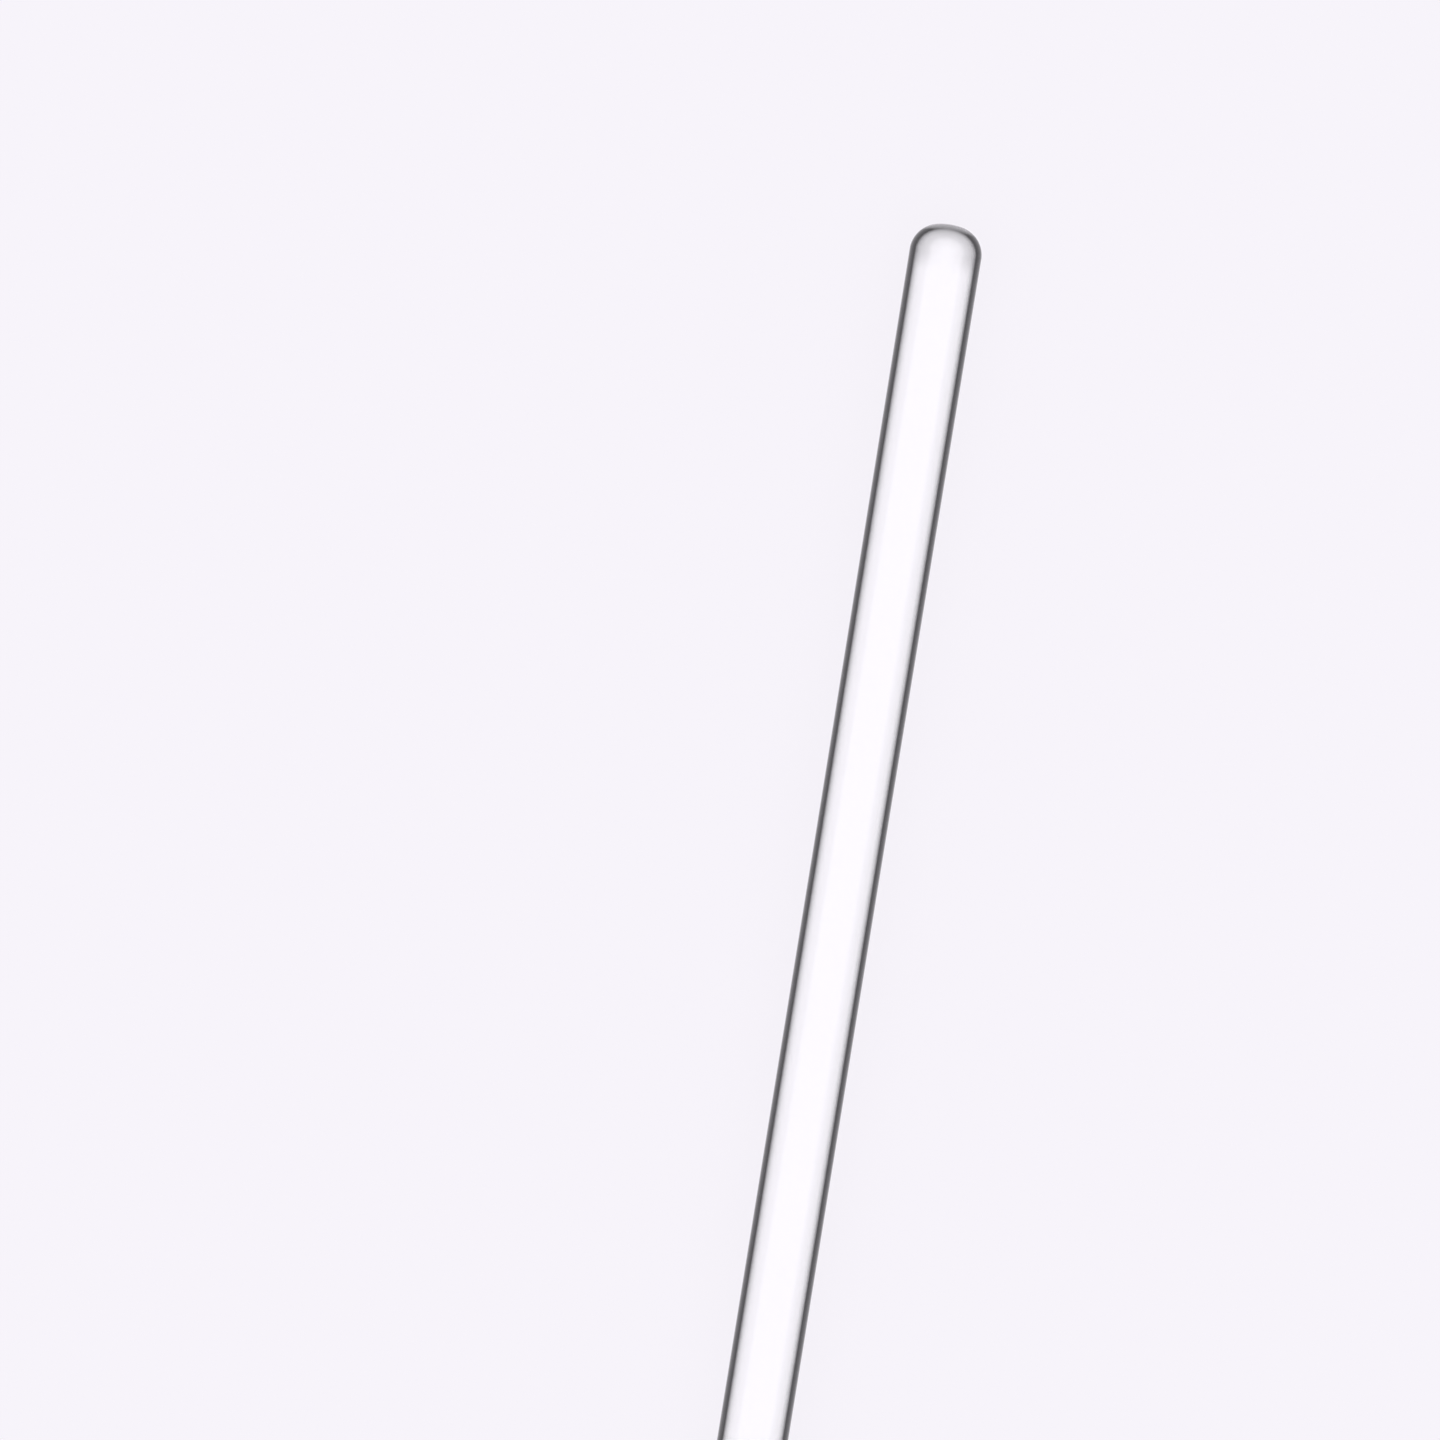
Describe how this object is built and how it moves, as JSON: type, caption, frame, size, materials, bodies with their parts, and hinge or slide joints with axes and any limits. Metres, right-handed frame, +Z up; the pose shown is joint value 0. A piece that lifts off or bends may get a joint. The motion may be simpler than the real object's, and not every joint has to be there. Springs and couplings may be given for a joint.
{
  "type": "glass stirring rod",
  "caption": "Solid clear glass stirring rod: a straight round rod that thickens slightly to fire-polished rounded ends, for stirring liquids and guiding a pour.",
  "frame": {"origin": "on the rod's axis, midway between its two rounded ends", "axes": "+X along the rod; the rod is round about X, so Y and Z are any two directions across it, with +Z up where it lies on a bench"},
  "size_m": [0.2, 0.0062, 0.0062],
  "materials": {
    "glass": "polished"
  },
  "bodies": {
    "root": {"rod": "glass"}
  },
  "joints": []
}
